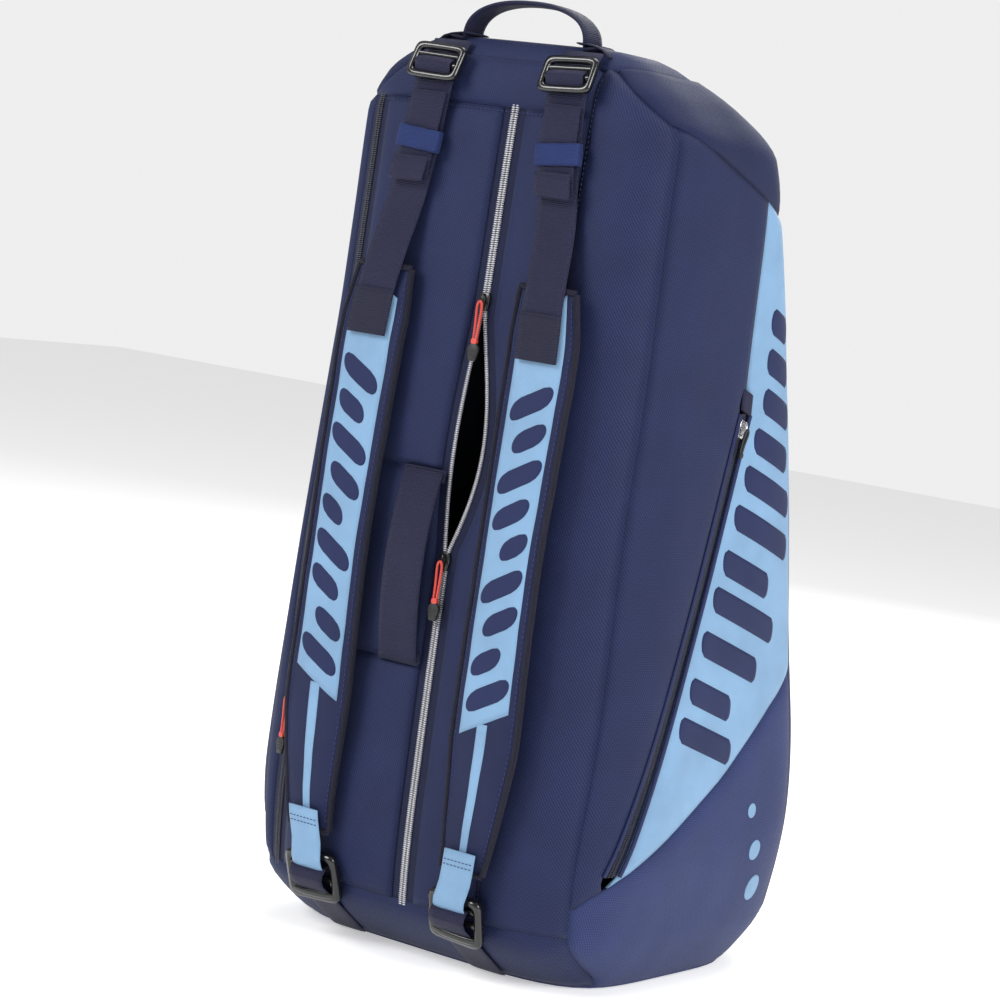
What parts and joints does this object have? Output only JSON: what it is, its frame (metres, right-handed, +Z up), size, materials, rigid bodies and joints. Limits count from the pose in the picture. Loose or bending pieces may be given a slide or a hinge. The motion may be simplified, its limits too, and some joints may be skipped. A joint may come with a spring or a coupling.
{
  "type": "racket tournament bag",
  "caption": "Tall soft bag for rackets with zipped compartments, side pocket, padded shoulder straps, grab handle and top handle.",
  "frame": {"origin": "middle of the bag's bounding box, on the floor under its base", "axes": "+Z up along the bag's height, +X across the back to the side with the zipped pocket, -Y out of the back with the shoulder straps"},
  "size_m": [0.3596, 0.3843, 0.757],
  "materials": {
    "navy_cloth": "navy body cloth with woven dots",
    "base_cloth": "dotted blue base cloth",
    "light_blue_cloth": "coated light blue cloth",
    "stiffener": "polyethylene board",
    "inner_cloth": "plain inner cloth",
    "thermal_foil": "silver coated lining cloth",
    "silver_zip": "silver coil zip on navy tape",
    "slider_metal": "black lacquered die casting",
    "pull_loop_rubber": "moulded coral red loop",
    "pull_tab_rubber": "moulded black rubber",
    "dark_zip": "black coil zip on navy tape",
    "pocket_slider_metal": "gunmetal plating",
    "pad_cloth": "padded strap cloth",
    "webbing": "ribbed polyester webbing",
    "keeper_elastic": "royal blue elastic",
    "buckle_plastic": "black moulded plastic"
  },
  "bodies": {
    "bag": {"back_panel_left": "navy_cloth", "back_panel_center_lower": "navy_cloth", "back_panel_center_middle": "navy_cloth", "back_panel_center_upper": "navy_cloth", "back_panel_inner_right": "navy_cloth", "back_panel_outer_right": "navy_cloth", "back_yoke_panel": "navy_cloth", "back_kick_panel": "base_cloth", "side_panel_right_upper": "navy_cloth", "side_pocket_panel_right": "light_blue_cloth", "side_panel_right_lower": "base_cloth", "side_panel_left_upper": "navy_cloth", "side_panel_left_graphic": "light_blue_cloth", "side_panel_left_lower": "base_cloth", "front_panel": "navy_cloth", "roof_panel": "navy_cloth", "ridge_panel": "navy_cloth", "base_panel": "navy_cloth", "base_board": "stiffener", "compartment_divider": "inner_cloth", "thermal_lining": "thermal_foil", "side_pocket_back_wall": "inner_cloth", "middle_zip_left_half": "silver_zip", "middle_zip_right_half": "silver_zip", "left_zip_left_half": "dark_zip", "left_zip_right_half": "dark_zip", "side_pocket_zip": "dark_zip", "lower_webbing_right": "webbing", "lower_webbing_left": "webbing", "grab_handle_anchors": "webbing", "top_handle_anchors": "webbing"},
    "strap_right": {"upper_webbing_right": "webbing", "shoulder_pad_right": "pad_cloth", "webbing_tail_right": "webbing", "elastic_keeper_right": "keeper_elastic"},
    "triglide_right": {"triglide_right": "buckle_plastic"},
    "ladder_lock_right": {"ladder_lock_right": "buckle_plastic"},
    "strap_left": {"upper_webbing_left": "webbing", "shoulder_pad_left": "pad_cloth", "webbing_tail_left": "webbing", "elastic_keeper_left": "keeper_elastic"},
    "triglide_left": {"triglide_left": "buckle_plastic"},
    "ladder_lock_left": {"ladder_lock_left": "buckle_plastic"},
    "grab_handle": {"grab_handle": "webbing"},
    "top_handle": {"top_handle": "webbing"},
    "middle_zip_lower_slider": {"middle_zip_lower_slider": "slider_metal"},
    "middle_zip_lower_pull": {"middle_zip_lower_pull": "pull_loop_rubber", "middle_zip_lower_pull_tab": "pull_tab_rubber"},
    "middle_zip_upper_slider": {"middle_zip_upper_slider": "slider_metal"},
    "middle_zip_upper_pull": {"middle_zip_upper_pull": "pull_loop_rubber", "middle_zip_upper_pull_tab": "pull_tab_rubber"},
    "left_zip_lower_slider": {"left_zip_lower_slider": "slider_metal"},
    "left_zip_lower_pull": {"left_zip_lower_pull": "pull_loop_rubber", "left_zip_lower_pull_tab": "pull_tab_rubber"},
    "left_zip_upper_slider": {"left_zip_upper_slider": "slider_metal"},
    "left_zip_upper_pull": {"left_zip_upper_pull": "pull_loop_rubber", "left_zip_upper_pull_tab": "pull_tab_rubber"},
    "side_pocket_slider": {"side_pocket_slider": "pocket_slider_metal"},
    "side_pocket_pull": {"side_pocket_pull": "pocket_slider_metal"}
  },
  "joints": [
    {"name": "strap_right_swing", "type": "hinge", "parent": "bag", "child": "strap_right", "pos_m": [0.07, -0.16788, 0.052], "axis": [-0.0123, 0.0129, 0.9998], "range_deg": [-6, 10]},
    {"name": "triglide_right_slide", "type": "slide", "parent": "strap_right", "child": "triglide_right", "axis": [0.0359, -0.3726, -0.9273], "range_m": [0, 0.02]},
    {"name": "ladder_lock_right_tilt", "type": "hinge", "parent": "strap_right", "child": "ladder_lock_right", "pos_m": [0.07187, -0.17944, 0.06737], "axis": [-0.9986, 0, 0.0529], "range_deg": [0, 25]},
    {"name": "strap_left_swing", "type": "hinge", "parent": "bag", "child": "strap_left", "pos_m": [-0.07, -0.16788, 0.052], "axis": [0.0123, 0.0129, 0.9998], "range_deg": [-10, 6]},
    {"name": "triglide_left_slide", "type": "slide", "parent": "strap_left", "child": "triglide_left", "axis": [-0.0359, -0.3726, -0.9273], "range_m": [0, 0.02]},
    {"name": "ladder_lock_left_tilt", "type": "hinge", "parent": "strap_left", "child": "ladder_lock_left", "pos_m": [-0.07187, -0.17944, 0.06737], "axis": [-0.9986, 0, -0.0529], "range_deg": [0, 25]},
    {"name": "grab_handle_swing", "type": "hinge", "parent": "bag", "child": "grab_handle", "pos_m": [-0.017, -0.17364, 0.236], "axis": [0, 0.0065, 1], "range_deg": [-4, 4]},
    {"name": "top_handle_fold", "type": "hinge", "parent": "bag", "child": "top_handle", "pos_m": [0, -0.1363, 0.724], "axis": [1, 0, 0], "range_deg": [-40, 40]},
    {"name": "middle_zip_lower_slider_slide", "type": "slide", "parent": "bag", "child": "middle_zip_lower_slider", "axis": [0, 0.0021, -1], "range_m": [0, 0.2339]},
    {"name": "middle_zip_lower_pull_swing", "type": "hinge", "parent": "middle_zip_lower_slider", "child": "middle_zip_lower_pull", "pos_m": [0.012, -0.17675, 0.31817], "axis": [-1, -0.0001, 0], "range_deg": [0, 150]},
    {"name": "middle_zip_upper_slider_slide", "type": "slide", "parent": "bag", "child": "middle_zip_upper_slider", "axis": [0, 0.0248, 0.9997], "range_m": [0, 0.1353]},
    {"name": "middle_zip_upper_pull_swing", "type": "hinge", "parent": "middle_zip_upper_slider", "child": "middle_zip_upper_pull", "pos_m": [0.012, -0.17234, 0.5212], "axis": [-1, -0.0001, 0], "range_deg": [0, 150]},
    {"name": "left_zip_lower_slider_slide", "type": "slide", "parent": "bag", "child": "left_zip_lower_slider", "axis": [-0.0066, 0.0097, -0.9999], "range_m": [0, 0.099]},
    {"name": "left_zip_lower_pull_swing", "type": "hinge", "parent": "left_zip_lower_slider", "child": "left_zip_lower_pull", "pos_m": [-0.12637, -0.16809, 0.1831], "axis": [-0.9521, 0.3057, 0], "range_deg": [0, 150]},
    {"name": "left_zip_upper_slider_slide", "type": "slide", "parent": "bag", "child": "left_zip_upper_slider", "axis": [-0.0023, 0.0118, 0.9999], "range_m": [0, 0.1783]},
    {"name": "left_zip_upper_pull_swing", "type": "hinge", "parent": "left_zip_upper_slider", "child": "left_zip_upper_pull", "pos_m": [-0.12684, -0.16247, 0.47718], "axis": [-0.9129, 0.4081, 0], "range_deg": [0, 150]},
    {"name": "side_pocket_slider_slide", "type": "slide", "parent": "bag", "child": "side_pocket_slider", "axis": [0.0197, -0.2914, -0.9564], "range_m": [0, 0.3515]},
    {"name": "side_pocket_pull_swing", "type": "hinge", "parent": "side_pocket_slider", "child": "side_pocket_pull", "pos_m": [0.16748, -0.01002, 0.4498], "axis": [0, -0.9566, 0.2915], "range_deg": [0, 150]}
  ]
}
